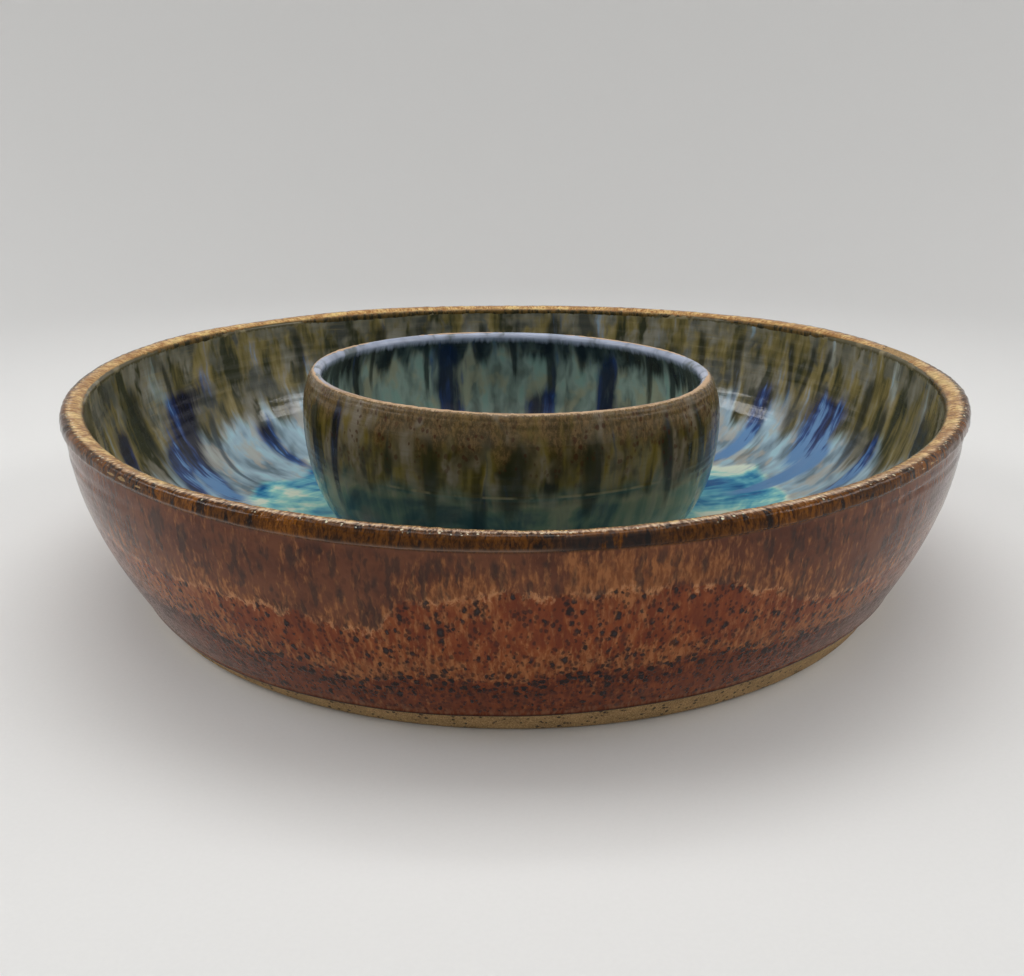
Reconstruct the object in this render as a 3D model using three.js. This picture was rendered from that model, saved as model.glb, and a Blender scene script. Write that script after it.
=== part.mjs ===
// Chip and dip server in wheel-thrown, glazed stoneware: a wide, low serving bowl with a small round dip bowl
// standing loose on the middle of its floor. Both are single lumps of fired clay.
//
// Millimetres, +Z up. The origin is the centre of the serving bowl's foot, on the table.

import * as THREE from 'three';

// Serving bowl
const OUTER_RADIUS = 152.5; // over the rolled rim
const RIM_CENTRE_Z = 63.9;
const RIM_ROLL = 2.2; // the rolled rim's radius on its outer side, and half its height
const RIM_INNER_REACH = 4.9; // how far the rim's rounded top reaches inwards from its crest
const RIM_OVERHANG = 1; // how far the rim stands out over the wall under it
const RIM_BLEND_ANGLE = -0.87; // where the rolled rim leaves the wall, in radians below its outermost point
const FOOT_RADIUS = 131.1;
const FOOT_BEVEL = 0.8;
const FOOT_BAND_TOP = 4; // height of the bare clay band
const FOOT_BAND_FLARE = 2.1; // how much wider the band is at its top
const GLAZE_ROLL = 0.9; // the glaze ends in a thick roll just above the bare band
const FOOT_RING_WIDTH = 15; // flat ring the bowl stands on
const UNDERSIDE_RECESS = 2; // turned hollow inside the foot ring
const FLOOR_Z = 8.5;
const FLOOR_RADIUS = 96; // the flat middle of the floor
// The outer wall leaves the foot heading for the first of these points, and comes to the rim from the second.
// The inner wall does the same from the rim down to the floor. Each is a radius and a height.
const WALL_FROM_FOOT = [142.6, 21];
const WALL_TO_RIM = [151.2, 38];
const INSIDE_FROM_RIM = [143.5, 30];
const INSIDE_TO_FLOOR_RADIUS = 132;

// Dip bowl
const DIP_GAP = 0.3; // clearance between its foot and the serving bowl's floor
const DIP_OFFSET_X = -1;
const DIP_RIM_RADIUS = 69.85; // at the crest
const DIP_RIM_Z = 65.8;
const DIP_RIM_ROLL = 2.15;
const DIP_BELLY_RADIUS = 75.1;
const DIP_BELLY_Z = 51;
const DIP_WALL = 4.7; // thickness at the belly
const DIP_FOOT_RADIUS = 56;
const DIP_FOOT_ROUND = 1; // the foot's rounded outer edge
const DIP_FOOT_RING_WIDTH = 10;
const DIP_RECESS = 1.5;
const DIP_BASE = 7.7; // from the foot to the floor inside
const DIP_FLOOR_RADIUS = 30;
const DIP_WALL_FROM_FOOT = [70, 17]; // headings of the belly and of the shoulder, as for the serving bowl
const DIP_WALL_TO_BELLY_Z = 34;
const DIP_SHOULDER_FROM_BELLY_Z = 58;
const DIP_SHOULDER_TO_RIM = [74.2, 62.5];
const DIP_INSIDE_FROM_RIM = [69.2, 62];
const DIP_INSIDE_SHOULDER_Z = 57;
const DIP_INSIDE_FROM_BELLY_Z = 28;
const DIP_INSIDE_TO_FLOOR_RADIUS = 62;

// Small deviations from a true round that the clay took in drying and firing
const RIM_SADDLE = 2; // the serving bowl's rim rides this much high at the sides and low at front and back
const SADDLE_START_Z = 10;
const DIP_TILT_X = Math.tan(THREE.MathUtils.degToRad(1.13)); // the dip bowl's rim falls towards +X
const DIP_TILT_Y = Math.tan(THREE.MathUtils.degToRad(1.29)); // and towards +Y

const CURVE_STEPS = 7;
const INSIDE_STEPS = 10;
const SHOULDER_STEPS = 4;
const DIP_RIM_STEPS = 5;
const SERVING_SEGMENTS = 72;
const DIP_SEGMENTS = 60;

const point = (radius, z) => new THREE.Vector2(radius, z);

function curve(from, leaving, arriving, to, steps) {
  return new THREE.CubicBezierCurve(from, leaving, arriving, to).getPoints(steps);
}

// Part of an ellipse about (radius, z), from one angle to another, counted from straight outwards.
function roll(radius, z, reach, height, fromAngle, toAngle, steps) {
  return new THREE.EllipseCurve(radius, z, reach, height, fromAngle, toAngle, false).getPoints(steps);
}

// Joins stretches of an outline, leaving out the first point of each where it repeats the last one.
function outline(...stretches) {
  const joined = [];
  for (const stretch of stretches) {
    for (const p of stretch) {
      const last = joined[joined.length - 1];
      if (!last || last.distanceTo(p) > 1e-6) joined.push(p);
    }
  }
  return joined;
}

function servingBowlOutline() {
  const crest = OUTER_RADIUS - RIM_ROLL;
  const wallTop = point(OUTER_RADIUS - RIM_OVERHANG, RIM_CENTRE_Z - RIM_ROLL);
  const bandTop = FOOT_RADIUS + FOOT_BAND_FLARE;
  const glazeFoot = point(bandTop + GLAZE_ROLL, FOOT_BAND_TOP + GLAZE_ROLL);
  const ringInner = FOOT_RADIUS - FOOT_BEVEL - FOOT_RING_WIDTH;
  const rimInside = point(crest - RIM_INNER_REACH, RIM_CENTRE_Z);
  const floorEdge = point(FLOOR_RADIUS, FLOOR_Z);
  const toFloor = point(INSIDE_TO_FLOOR_RADIUS, FLOOR_Z);
  return outline(
    [point(0, UNDERSIDE_RECESS), point(ringInner - UNDERSIDE_RECESS, UNDERSIDE_RECESS), point(ringInner, 0)],
    [point(FOOT_RADIUS - FOOT_BEVEL, 0), point(FOOT_RADIUS + FOOT_BEVEL / 4, FOOT_BEVEL)],
    [point(bandTop, FOOT_BAND_TOP)],
    curve(glazeFoot, point(...WALL_FROM_FOOT), point(...WALL_TO_RIM), wallTop, CURVE_STEPS),
    roll(crest, RIM_CENTRE_Z, RIM_ROLL, RIM_ROLL, RIM_BLEND_ANGLE, 0, 2),
    roll(crest, RIM_CENTRE_Z, RIM_ROLL, RIM_ROLL, 0, Math.PI / 2, 3),
    roll(crest, RIM_CENTRE_Z, RIM_INNER_REACH, RIM_ROLL, Math.PI / 2, Math.PI, 4),
    curve(rimInside, point(...INSIDE_FROM_RIM), toFloor, floorEdge, INSIDE_STEPS),
    [point(0, FLOOR_Z)],
  );
}

function dipBowlOutline() {
  const foot = FLOOR_Z + DIP_GAP;
  const floor = foot + DIP_BASE;
  const ringInner = DIP_FOOT_RADIUS - DIP_FOOT_RING_WIDTH;
  const footEdge = point(DIP_FOOT_RADIUS + DIP_FOOT_ROUND, foot + DIP_FOOT_ROUND);
  const belly = point(DIP_BELLY_RADIUS, DIP_BELLY_Z);
  const toBelly = point(DIP_BELLY_RADIUS, DIP_WALL_TO_BELLY_Z);
  const fromBelly = point(DIP_BELLY_RADIUS, DIP_SHOULDER_FROM_BELLY_Z);
  const rimOutside = point(DIP_RIM_RADIUS + DIP_RIM_ROLL, DIP_RIM_Z);
  const rimInside = point(DIP_RIM_RADIUS - DIP_RIM_ROLL, DIP_RIM_Z);
  const insideRadius = DIP_BELLY_RADIUS - DIP_WALL;
  const insideBelly = point(insideRadius, DIP_BELLY_Z);
  const insideShoulder = point(insideRadius, DIP_INSIDE_SHOULDER_Z);
  const fromInsideBelly = point(insideRadius, DIP_INSIDE_FROM_BELLY_Z);
  const toFloor = point(DIP_INSIDE_TO_FLOOR_RADIUS, floor);
  return outline(
    [point(0, foot + DIP_RECESS), point(ringInner - DIP_RECESS, foot + DIP_RECESS), point(ringInner, foot)],
    [point(DIP_FOOT_RADIUS, foot)],
    curve(footEdge, point(...DIP_WALL_FROM_FOOT), toBelly, belly, CURVE_STEPS),
    curve(belly, fromBelly, point(...DIP_SHOULDER_TO_RIM), rimOutside, SHOULDER_STEPS),
    roll(DIP_RIM_RADIUS, DIP_RIM_Z, DIP_RIM_ROLL, DIP_RIM_ROLL, 0, Math.PI, DIP_RIM_STEPS),
    curve(rimInside, point(...DIP_INSIDE_FROM_RIM), insideShoulder, insideBelly, SHOULDER_STEPS - 1),
    curve(insideBelly, fromInsideBelly, toFloor, point(DIP_FLOOR_RADIUS, floor), CURVE_STEPS),
    [point(0, floor)],
  );
}

// Turns an outline about the Z axis, then lifts each point by rise(x, y, z).
function thrown(points, segments, rise) {
  const geometry = new THREE.LatheGeometry(points, segments);
  geometry.rotateX(Math.PI / 2);
  const position = geometry.attributes.position;
  for (let i = 0; i < position.count; i += 1) {
    const z = position.getZ(i);
    position.setZ(i, z + rise(position.getX(i), position.getY(i), z));
  }
  geometry.computeVertexNormals();
  return geometry;
}

function servingBowl() {
  const rise = (x, y, z) => {
    const squared = x * x + y * y;
    if (z <= SADDLE_START_Z || squared === 0) return 0;
    const share = (z - SADDLE_START_Z) / (RIM_CENTRE_Z - SADDLE_START_Z);
    return (RIM_SADDLE * share * (x * x - y * y)) / squared;
  };
  const glaze = new THREE.MeshStandardMaterial({ color: 0x8a4a2b, roughness: 0.22, metalness: 0 });
  const mesh = new THREE.Mesh(thrown(servingBowlOutline(), SERVING_SEGMENTS, rise), glaze);
  mesh.name = 'serving_bowl';
  return mesh;
}

function dipBowl() {
  const foot = FLOOR_Z + DIP_GAP;
  const rise = (x, y, z) => {
    const share = Math.max(0, z - foot - DIP_BASE) / (DIP_RIM_Z - foot - DIP_BASE);
    return -share * (x * DIP_TILT_X + y * DIP_TILT_Y);
  };
  const glaze = new THREE.MeshStandardMaterial({ color: 0x4d5b48, roughness: 0.2, metalness: 0 });
  const mesh = new THREE.Mesh(thrown(dipBowlOutline(), DIP_SEGMENTS, rise), glaze);
  mesh.name = 'dip_bowl';
  mesh.position.x = DIP_OFFSET_X;
  return mesh;
}

const server = new THREE.Group();
server.add(servingBowl(), dipBowl());

export default server;
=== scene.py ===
"""Chip and dip server: the glazed looks of the serving bowl and the dip bowl.

Each bowl is a body of bare clay with two layers of glaze on it, one outside and one inside. Every layer is
turned from one section curve. Lengths along the sections are in millimetres; the meshes are in metres.
Angles round a bowl are in degrees from +X, so that 270 is the front.
"""
import math

import bpy
import numpy as np
from mathutils import Matrix, Vector


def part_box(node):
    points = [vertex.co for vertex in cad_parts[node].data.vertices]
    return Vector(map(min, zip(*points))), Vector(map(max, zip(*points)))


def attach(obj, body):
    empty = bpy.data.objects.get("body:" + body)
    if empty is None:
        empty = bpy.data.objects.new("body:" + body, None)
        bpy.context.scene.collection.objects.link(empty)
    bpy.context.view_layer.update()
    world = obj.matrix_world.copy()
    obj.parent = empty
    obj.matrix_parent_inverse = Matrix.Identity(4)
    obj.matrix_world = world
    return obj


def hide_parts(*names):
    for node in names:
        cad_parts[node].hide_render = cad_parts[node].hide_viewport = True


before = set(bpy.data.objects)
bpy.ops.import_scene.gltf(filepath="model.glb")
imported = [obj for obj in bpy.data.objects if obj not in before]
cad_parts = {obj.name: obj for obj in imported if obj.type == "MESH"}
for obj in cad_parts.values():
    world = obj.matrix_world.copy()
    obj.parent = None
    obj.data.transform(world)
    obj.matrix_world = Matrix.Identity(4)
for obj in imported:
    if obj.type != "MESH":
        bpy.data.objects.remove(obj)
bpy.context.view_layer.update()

MM = 0.001
TURN = 2 * math.pi

bowl_low, bowl_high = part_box("serving_bowl")
dip_low, dip_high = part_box("dip_bowl")

# Serving bowl's section
OUTER_RADIUS = (bowl_high.x - bowl_low.x) / 2 / MM
RIM_Z = 63.9
RIM_ROLL = 2.2
RIM_REACH = 4.9
RIM_OVERHANG = 1
RIM_BLEND_ANGLE = -0.87
FOOT_RADIUS = 131.1
FOOT_BEVEL = 0.8
FOOT_RING_WIDTH = 15
RECESS = 2
WALL_START = (134.1, 4.9)
WALL_FROM_FOOT = (142.6, 21)
WALL_TO_RIM = (151.2, 38)
INSIDE_FROM_RIM = (143.5, 30)
INSIDE_TO_FLOOR_RADIUS = 132
FLOOR_RADIUS = 96
FLOOR_Z = 8.5
RIM_SADDLE = 2
SADDLE_START_Z = 10

# Dip bowl's section
DIP_X = (dip_high.x + dip_low.x) / 2 / MM
DIP_FOOT_Z = dip_low.z / MM
DIP_FOOT_RADIUS = 56
DIP_FOOT_ROUND = 1
DIP_RING_WIDTH = 10
DIP_RECESS = 1.5
DIP_FLOOR_Z = DIP_FOOT_Z + 7.7
DIP_FLOOR_RADIUS = 30
DIP_BELLY = (75.1, 51)
DIP_WALL = 4.7
DIP_RIM_RADIUS = 69.85
DIP_RIM_Z = 65.8
DIP_ROLL = 2.15
DIP_TILT_X = math.tan(math.radians(1.13))
DIP_TILT_Y = math.tan(math.radians(1.29))

GLAZE = 0.5  # how deep the clay lies under the glaze
TUCK = 2.2  # how far one glaze runs on under the next one
SUNK = 0.7  # a glaze layer's hidden side, below its face
CURL = 0.16  # how steeply a glaze dives under the next one, as a share of the distance squared

# Relief in the glaze, in mm
THICK_END = 0.3  # the roll where the glaze ends above the foot
SWELL = 0.10  # slow unevenness
OUTER_RING_PITCH = 2.7  # throwing rings
OUTER_RING = 0.045
INNER_RING_PITCH = 4.6
INNER_RING = 0.05
CREASE = 0.4  # the crease under the rim
DIP_STEP = 0.11  # the edge of the second dip of glaze
BEAD = 0.26  # the bead along the rim's lower edge
LEDGE_FALL = 26.3  # the ledge low on the dip bowl, below its crest
LEDGE = 0.24


# ---------------- sections

def line(start, end, count=12):
    return np.linspace(start, end, count)


def curve(start, leaving, arriving, end, count=80):
    """Points on a Bezier curve."""
    t = np.linspace(0, 1, count)[:, None]
    s = 1 - t
    start, leaving, arriving, end = map(np.array, (start, leaving, arriving, end))
    return s ** 3 * start + 3 * t * s ** 2 * leaving + 3 * t * t * s * arriving + t ** 3 * end


def roll(radius, height, reach, rise, start, end, count=40):
    """Points on part of an ellipse, between two angles counted from straight outwards."""
    a = np.linspace(start, end, count)
    return np.stack([radius + reach * np.cos(a), height + rise * np.sin(a)], 1)


class Section:
    """A curve of radius and height, measured by the length along it. The clay lies on its right-hand side."""

    def __init__(self, **stretches):
        points = np.concatenate(list(stretches.values()))
        steps = np.hypot(*np.diff(points, axis=0).T)
        length = np.concatenate([[0], np.cumsum(steps)])
        self.end, count = {}, 0
        for name, stretch in stretches.items():
            count += len(stretch)
            self.end[name] = length[count - 1]
        self.length = length[-1]
        self.along = np.linspace(0, self.length, int(self.length / 0.1))
        self.radius = np.interp(self.along, length, points[:, 0])
        self.height = np.interp(self.along, length, points[:, 1])
        flow = np.gradient(self.radius), np.gradient(self.height)
        size = np.hypot(*flow)
        self.out = flow[1] / size, -flow[0] / size

    def at(self, along, lift=0):
        """Radius and height at a length along the curve, lifted off it by some millimetres."""
        beyond = np.maximum(along - self.length, 0)
        radius, height, out_r, out_z = (
            np.interp(along, self.along, values) for values in (self.radius, self.height, *self.out)
        )
        return np.maximum(radius - beyond + lift * out_r, 0), height + lift * out_z


def bowl_section():
    crest = OUTER_RADIUS - RIM_ROLL
    wall_top = (OUTER_RADIUS - RIM_OVERHANG, RIM_Z - RIM_ROLL)
    slope = (WALL_FROM_FOOT[0] - WALL_START[0]) / (WALL_FROM_FOOT[1] - WALL_START[1])
    return Section(
        foot=line((WALL_START[0] - slope * WALL_START[1], 0), WALL_START),
        wall=curve(WALL_START, WALL_FROM_FOOT, WALL_TO_RIM, wall_top),
        rim=np.concatenate([
            roll(crest, RIM_Z, RIM_ROLL, RIM_ROLL, RIM_BLEND_ANGLE, math.pi / 2),
            roll(crest, RIM_Z, RIM_REACH, RIM_ROLL, math.pi / 2, math.pi),
        ]),
        inside=curve((crest - RIM_REACH, RIM_Z), INSIDE_FROM_RIM, (INSIDE_TO_FLOOR_RADIUS, FLOOR_Z),
                     (FLOOR_RADIUS, FLOOR_Z)),
        floor=line((FLOOR_RADIUS, FLOOR_Z), (0, FLOOR_Z)),
    )


def dip_section():
    foot = (DIP_FOOT_RADIUS + DIP_FOOT_ROUND, DIP_FOOT_Z + DIP_FOOT_ROUND)
    belly_r, belly_z = DIP_BELLY
    inner_r = belly_r - DIP_WALL
    return Section(
        foot=line((DIP_FOOT_RADIUS, DIP_FOOT_Z), foot, 6),
        wall=np.concatenate([
            curve(foot, (70, 17), (belly_r, 34), DIP_BELLY),
            curve(DIP_BELLY, (belly_r, 58), (74.2, 62.5), (DIP_RIM_RADIUS + DIP_ROLL, DIP_RIM_Z)),
        ]),
        crest=roll(DIP_RIM_RADIUS, DIP_RIM_Z, DIP_ROLL, DIP_ROLL, 0, math.pi / 2),
        rim=roll(DIP_RIM_RADIUS, DIP_RIM_Z, DIP_ROLL, DIP_ROLL, math.pi / 2, math.pi),
        inside=np.concatenate([
            curve((DIP_RIM_RADIUS - DIP_ROLL, DIP_RIM_Z), (69.2, 62), (inner_r, 57), (inner_r, belly_z)),
            curve((inner_r, belly_z), (inner_r, 28), (62, DIP_FLOOR_Z), (DIP_FLOOR_RADIUS, DIP_FLOOR_Z)),
        ]),
        floor=line((DIP_FLOOR_RADIUS, DIP_FLOOR_Z), (0, DIP_FLOOR_Z)),
    )


BOWL = bowl_section()
DIP = dip_section()
WALL_TOP = BOWL.end["wall"]
RIM_EDGE = BOWL.end["rim"]
DIP_CREST = DIP.end["crest"]


# ---------------- shaping

def ease(low, high, x):
    """0 at low, 1 at high, smooth between them. low may be the larger one."""
    t = np.clip((x - low) / (high - low), 0, 1)
    return t * t * (3 - 2 * t)


def ridge(x, middle, width):
    """1 at the middle, falling away on both sides."""
    return np.exp(-(((x - middle) / width) ** 2))


def around(angle, stops):
    """A smooth value round the bowl, through a few (degrees, value) stops, and joined up at 360."""
    degrees = np.degrees(angle) % 360
    stops = sorted(stops)
    stops = [(stops[-1][0] - 360, stops[-1][1]), *stops, (stops[0][0] + 360, stops[0][1])]
    at, values = np.array(stops).T
    i = np.clip(np.searchsorted(at, degrees, side="right") - 1, 0, len(at) - 2)
    return values[i] + (values[i + 1] - values[i]) * ease(0, 1, (degrees - at[i]) / (at[i + 1] - at[i]))


def waves(angle, along, seed, count=24, most_turns=12, pitch=60):
    """Seeded ripples of about -1 to 1: up to most_turns of them round the bowl, each pitch mm or longer."""
    rng = np.random.default_rng(seed)
    total = 0
    for _ in range(count):
        turns = rng.integers(1, most_turns + 1)
        climb = rng.uniform(-1, 1) * TURN / pitch
        total = total + np.sin(turns * angle + climb * along + rng.uniform(0, TURN))
    return total / math.sqrt(count)


def saddle(x, y, z):
    """How far the serving bowl's clay has risen at the sides and sunk at front and back."""
    share = np.maximum(z - SADDLE_START_Z, 0) / (RIM_Z - SADDLE_START_Z)
    return RIM_SADDLE * share * (x * x - y * y) / np.maximum(x * x + y * y, 1e-9)


def tilt(x, y, z):
    """How far the dip bowl's clay has sunk towards the right and the back."""
    share = np.maximum(z - DIP_FLOOR_Z, 0) / (DIP_RIM_Z - DIP_FLOOR_Z)
    return -share * (x * DIP_TILT_X + y * DIP_TILT_Y)


def angles(columns):
    return np.arange(columns) * TURN / columns


def turned(name, radius, height, values, warp, centre_x=0, poles=False):
    """A closed mesh from rows of points round the axis. With poles, the first and last rows are single
    points, and without them the last row joins the first. values are kept on the points for the materials."""
    rows, columns = radius.shape
    angle = angles(columns)
    x, y = radius * np.cos(angle), radius * np.sin(angle)
    points = np.stack([x + centre_x, y, height + warp(x, y, height)], -1) * MM
    keep = np.ones((rows, columns), bool)
    if poles:
        keep[[0, -1], 1:] = False
    index = np.cumsum(keep.ravel()).reshape(rows, columns) - 1
    if poles:
        index[0], index[-1] = index[0, 0], index[-1, 0]
    after = np.roll(index, -1, 1)
    faces = []
    for i in range(rows - 1 if poles else rows):
        j = (i + 1) % rows
        if poles and i == 0:
            faces.append(np.stack([index[i], after[j], index[j]], 1).tolist())
        elif poles and j == rows - 1:
            faces.append(np.stack([index[i], after[i], index[j]], 1).tolist())
        else:
            faces.append(np.stack([index[i], after[i], after[j], index[j]], 1).tolist())
    mesh = bpy.data.meshes.new(name)
    mesh.from_pydata(points[keep].tolist(), [], [face for row in faces for face in row])
    mesh.validate()
    for key, value in values.items():
        vector = value.ndim == 3
        channel = mesh.attributes.new(key, "FLOAT_VECTOR" if vector else "FLOAT", "POINT")
        channel.data.foreach_set("vector" if vector else "value", value[keep].astype(np.float32).ravel())
    mesh.shade_smooth()
    mesh.set_sharp_from_angle(angle=math.radians(50))
    piece = bpy.data.objects.new(name, mesh)
    bpy.context.scene.collection.objects.link(piece)
    return piece


def layer(name, section, along, lift, values, warp, centre_x=0):
    """A sheet of glaze: its face is the section at these lengths, and its hidden side lies SUNK below."""
    hidden = np.unique(np.concatenate([np.arange(0, len(along), 6), [len(along) - 1]]))[::-1]
    inner = section.at(along[hidden], -SUNK)
    face = section.at(along, lift)
    pole = face[0][-1].max() < 1e-6
    radius = np.concatenate([inner[0], face[0]])
    height = np.concatenate([inner[1], face[1]])
    values = {key: np.concatenate([value[hidden], value]) for key, value in values.items()}
    return turned(name, radius, height, values, warp, centre_x, poles=pole)


def rows(*stops):
    """Lengths along a section from (start, end, spacing) stretches, as one column."""
    found = [np.linspace(a, b, max(2, round((b - a) / step) + 1))[:-1] for a, b, step in stops]
    return np.concatenate([*found, [stops[-1][1]]])[:, None]


def flow_of(angle, along, radius):
    """Where a point lies on the glaze, taking the wall as a straight cylinder, so that streaks run down."""
    angle, along = np.broadcast_arrays(angle, along)
    return np.stack([radius * np.cos(angle), radius * np.sin(angle), along], -1)


def run(angle, fall, radius, centre, top, bottom, half_width, lean=0.0):
    """One run of glaze, 0 to 1, from top to bottom in mm below the rim. It leans by lean degrees per mm."""
    middle = centre + lean * (fall - top) + 0.7 * np.sin(fall / 9 + centre)
    off = (np.degrees(angle) - middle + 180) % 360 - 180
    across = np.abs(off) * math.pi / 180 * radius / half_width
    taper = 1 - 0.35 * ease(top, bottom, fall)
    fade = (bottom - top) * 0.35
    begun = ease(top - 6, top + 6, fall)
    ended = ease(bottom + fade, bottom - fade, fall)
    return ease(1.8, 0.2, across / taper) * begun * ended


def runs(angle, fall, radius, listed):
    """Each listed run is its middle in degrees, its top and bottom, its half width in mm and its lean."""
    total = np.zeros(np.broadcast_shapes(angle.shape, fall.shape))
    for one in listed:
        total = np.maximum(total, run(angle, fall, radius, *one))
    return total


def scattered(seed, first, last, gap, tops, depths, widths):
    """More runs of the same kind, for the sides that have none listed."""
    rng = np.random.default_rng(seed)
    found, centre = [], first
    while centre < last:
        top = rng.uniform(*tops)
        bottom = top + rng.uniform(*depths)
        half_width = rng.uniform(*widths)
        found.append((centre, top, bottom, half_width, rng.uniform(-0.05, 0.05)))
        centre += rng.uniform(*gap)
    return found


# ---------------- the pieces

# Marks round the serving bowl's outside, as (degrees, mm). The first is how far above the wall's bend at the
# foot the glaze ends. The others are how far below the wall's top the thick upper glaze ends, the dark band
# begins and the crease lies.
GLAZE_END = [
    (20, 2.4), (90, 1.2), (150, 0.2), (200, -0.4), (235, -0.6), (255, 0.6), (270, 1.6), (290, 3.0),
    (312, 4.4),
]
DOUBLE_DIP = [
    (8, 18), (40, 14), (72, 24), (78, 17), (110, 14), (150, 21), (185, 25), (215, 23), (245, 24), (256.5, 26),
    (261, 16), (267, 12.5), (289, 13), (295, 19), (302, 26), (311, 29), (335, 23),
]
DARK_BAND = [
    (0, 41), (60, 43), (120, 39), (180, 42), (230, 39), (241, 43), (251, 46), (262, 41), (285, 37), (310, 40),
]
CREASE_PLACE = [(180, 6.5), (225, 5.5), (310, 3.5), (345, 5.5)]

# How strong each of these marks is round the outside, as (degrees, 0 to 1)
CREASED = [(150, 0), (185, 1), (222, 1), (236, 0), (305, 0), (318, 1), (350, 1), (20, 0)]
FLECKED = [(273, 0), (278, 1), (288, 1), (297, 0)]
# How much darker the rim's top is towards the front, and how strongly the painted crest highlight shows
# there, as (degrees, 0 to 1)
FRONT_SHARE = [(90, 0.1), (218, 0.2), (245, 0.9), (300, 0.9), (322, 0.3)]
SOOTY = [(271.5, 0), (276, 1), (280.5, 1), (286, 0)]
# Where a painted highlight lies along the rim's lower bead, as (degrees, 0 to 1)
BEAD_GLINT = [(200, 0), (240, 1), (271, 1), (277, 0)]


def bowl_outer_glaze():
    angle = angles(720)[None, :]
    end = BOWL.end["foot"] + around(angle, GLAZE_END)
    usual = 57  # about the wall's length
    share = rows((0, 2.4, 0.3), (2.4, usual, 0.92)) / usual
    over_rim = WALL_TOP + rows((0, RIM_EDGE - WALL_TOP + TUCK, 0.35))[1:] + 0 * end
    up = np.concatenate([end + share * (WALL_TOP - end), over_rim])
    drop, above = WALL_TOP - up, up - end
    dipped = drop - around(angle, DOUBLE_DIP) + 1.6 * np.abs(waves(angle, 0 * up, 13, 9, 60))
    banded = drop - around(angle, DARK_BAND) + 2 * waves(angle, 0 * up, 16, 12, 26)
    values = {
        "flow": flow_of(angle, drop, OUTER_RADIUS),
        "above": above,
        "dipped": dipped,
        "banded": banded,
        "tan": outer_tan(angle, drop, dipped, banded),
        "rim": -drop + 0 * angle,
        "front_share": around(angle, FRONT_SHARE) + 0 * up,
        "soot": around(angle, SOOTY) * ease(-1, 1, -drop) * ease(5.5, 4, -drop),
        "bead_glint": around(angle, BEAD_GLINT) * ridge(-drop, 0.9, 0.5),
    }
    lift = outer_wall_lift(angle, up, drop, above, dipped) + outer_rim_lift(angle, up, drop)
    return layer("serving_bowl_outer_glaze", BOWL, up, lift, values, saddle)


def outer_wall_lift(angle, up, drop, above, dipped):
    """The thick end, slow swells, throwing rings, the crease under the rim and the edge of the second dip."""
    lift = -GLAZE * ease(0.7, 0, above) + THICK_END * ridge(above, 1.1, 0.6)
    lift = lift + SWELL * waves(angle, up, 11, 24, 14, 60)
    rings = OUTER_RING * np.sin(TURN * up / OUTER_RING_PITCH + 1.6 * waves(angle, 0 * up, 12, 5, 3))
    place = around(angle, CREASE_PLACE)
    crease = CREASE * ridge(drop, place, 0.55) - 0.12 * ridge(drop, place + 1.7, 1.0)
    crease = around(angle, CREASED) * crease
    step = DIP_STEP * ease(0.8, -0.8, dipped)
    on_wall = ease(-0.5, 2, drop) * ease(1, 4, above)
    return lift + on_wall * (rings - crease + step)


def outer_rim_lift(angle, up, drop):
    """The rim's lumps and its bead, and the curl under the inner glaze."""
    lumps = 0.22 * waves(angle, 0 * up, 14, 10, 9) + 0.07 * waves(angle, up, 15, 60, 230, 5)
    bead = BEAD * ridge(-drop, 1.3, 0.55) - 0.16 * ridge(-drop, 2.9, 0.9)
    bead = bead * (1 + 0.3 * waves(angle, 0 * up, 18, 12, 14))
    return ease(1.5, -1.5, drop) * (lumps + bead) - CURL * np.maximum(up - RIM_EDGE, 0) ** 2


def outer_tan(angle, drop, dipped, banded):
    """How much more or less tan the streaks are than usual: most just above the two edges."""
    tan = 0.13 * ease(-13, -1, dipped) * ease(1, -1, dipped) + 0.06 * ease(-1, 2, dipped) - 0.04
    tan = tan + 0.12 * ease(-13, -3, banded) * ease(1.5, -1.5, banded) - 0.10 * ease(-1, 2, banded)
    return tan + 0.12 * around(angle, FLECKED) * ease(17, 9, drop) + 0.04 * waves(angle, drop, 17, 20, 30, 24)


def inside_values(angle, fall, radius, cobalt, drips, zones, soft, shore=5, wander=4, marks=0):
    """What the running glaze needs to know at each point. zones are the lengths below the rim where the dark
    top turns pale, and where the pale wall turns into the pool. The changes take soft and shore mm each way,
    and the second wanders up and down by wander mm. marks is each surface's own: how pale the serving bowl's
    cobalt is, how sharp the ledge outside the dip bowl is and so how strong the painted highlight along it
    is, or how brown its lip is."""
    pale_from, pool_from = zones
    pale_fall = fall + soft / 3 * waves(angle, fall, 31, 16, 40, 60)
    pool_fall = fall + wander * waves(angle, fall, 32, 16, 24, 60)
    return {
        "flow": flow_of(angle, fall, radius),
        "fall": fall + 0 * angle,
        "pale": ease(pale_from - soft, pale_from + soft, pale_fall),
        "pool": ease(pool_from - shore, pool_from + shore, pool_fall),
        "cobalt": cobalt,
        "drip": drips,
        "marks": marks + 0 * (angle + fall),
    }


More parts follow.
